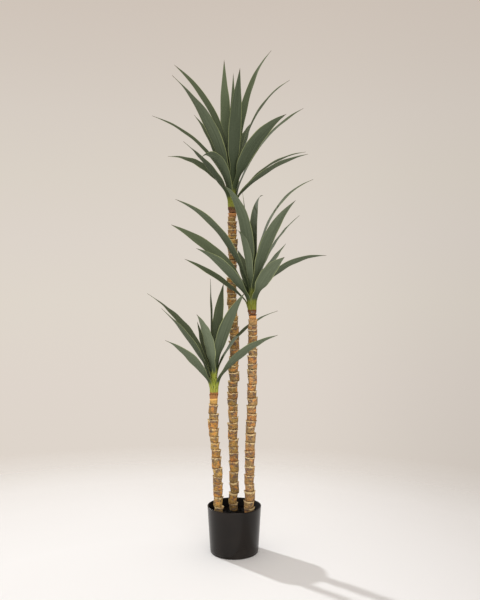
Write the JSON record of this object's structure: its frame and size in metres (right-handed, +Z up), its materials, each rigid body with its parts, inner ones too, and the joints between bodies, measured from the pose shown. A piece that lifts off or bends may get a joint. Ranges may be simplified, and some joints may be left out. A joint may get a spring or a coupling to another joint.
{
  "type": "potted yucca",
  "caption": "Potted yucca with ringed canes of stepped height in a round dark nursery pot, each cane topped by a rosette of long, pointed, arching leaves.",
  "frame": {"origin": "centre of the pot's flat underside", "axes": "+Z up along the canes, -Y towards the front, +X to the right seen from the front"},
  "size_m": [0.5395, 0.4308, 1.5603],
  "materials": {
    "pot": "satin",
    "soil": "matte",
    "bark": "matte",
    "crown": "satin",
    "leaf": "satin"
  },
  "bodies": {
    "root": {"pot": "pot", "potting_soil": "soil", "cane_tall": "bark", "crown_tall": "crown", "cane_middle": "bark", "crown_middle": "crown", "cane_short": "bark", "crown_short": "crown", "leaf_tall_01": "leaf", "leaf_tall_02": "leaf", "leaf_tall_03": "leaf", "leaf_tall_04": "leaf", "leaf_tall_05": "leaf", "leaf_tall_06": "leaf", "leaf_tall_07": "leaf", "leaf_tall_08": "leaf", "leaf_tall_09": "leaf", "leaf_tall_10": "leaf", "leaf_tall_11": "leaf", "leaf_tall_12": "leaf", "leaf_tall_13": "leaf", "leaf_tall_14": "leaf", "leaf_tall_15": "leaf", "leaf_tall_16": "leaf", "leaf_tall_17": "leaf", "leaf_tall_18": "leaf", "leaf_middle_01": "leaf", "leaf_middle_02": "leaf", "leaf_middle_03": "leaf", "leaf_middle_04": "leaf", "leaf_middle_05": "leaf", "leaf_middle_06": "leaf", "leaf_middle_07": "leaf", "leaf_middle_08": "leaf", "leaf_middle_09": "leaf", "leaf_middle_10": "leaf", "leaf_middle_11": "leaf", "leaf_middle_12": "leaf", "leaf_middle_13": "leaf", "leaf_middle_14": "leaf", "leaf_middle_15": "leaf", "leaf_middle_16": "leaf", "leaf_short_01": "leaf", "leaf_short_02": "leaf", "leaf_short_03": "leaf", "leaf_short_04": "leaf", "leaf_short_05": "leaf", "leaf_short_06": "leaf", "leaf_short_07": "leaf", "leaf_short_08": "leaf", "leaf_short_09": "leaf", "leaf_short_10": "leaf", "leaf_short_11": "leaf"}
  },
  "joints": []
}
